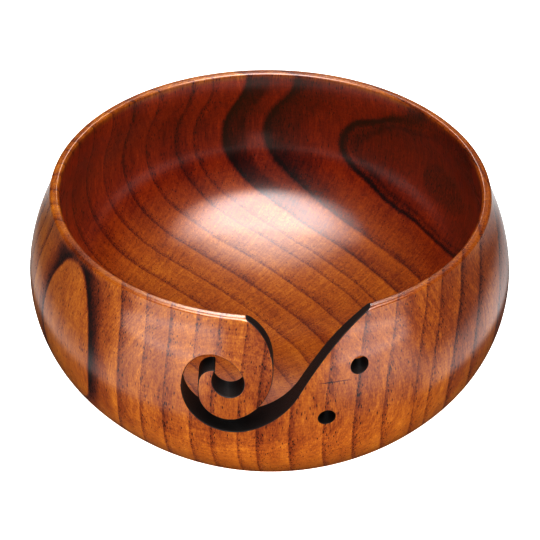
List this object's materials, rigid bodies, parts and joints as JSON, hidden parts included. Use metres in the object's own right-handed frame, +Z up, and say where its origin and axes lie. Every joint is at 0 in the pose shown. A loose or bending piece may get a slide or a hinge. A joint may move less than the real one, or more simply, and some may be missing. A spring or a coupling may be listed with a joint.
{
  "type": "yarn bowl",
  "caption": "Round turned wooden bowl with a rounded belly, a curled slot in its front wall that guides yarn, and two needle holes beside the slot.",
  "frame": {"origin": "centre of the flat foot, on the surface that the bowl stands on", "axes": "+Z up along the turning axis; the slot faces -Y; +X is to the right of someone who looks at the slot"},
  "size_m": [0.15, 0.15, 0.078],
  "materials": {
    "wood": "clear gloss lacquer over turned red-brown wood; slot and hole walls charred black"
  },
  "bodies": {
    "root": {"bowl": "wood"}
  },
  "joints": []
}
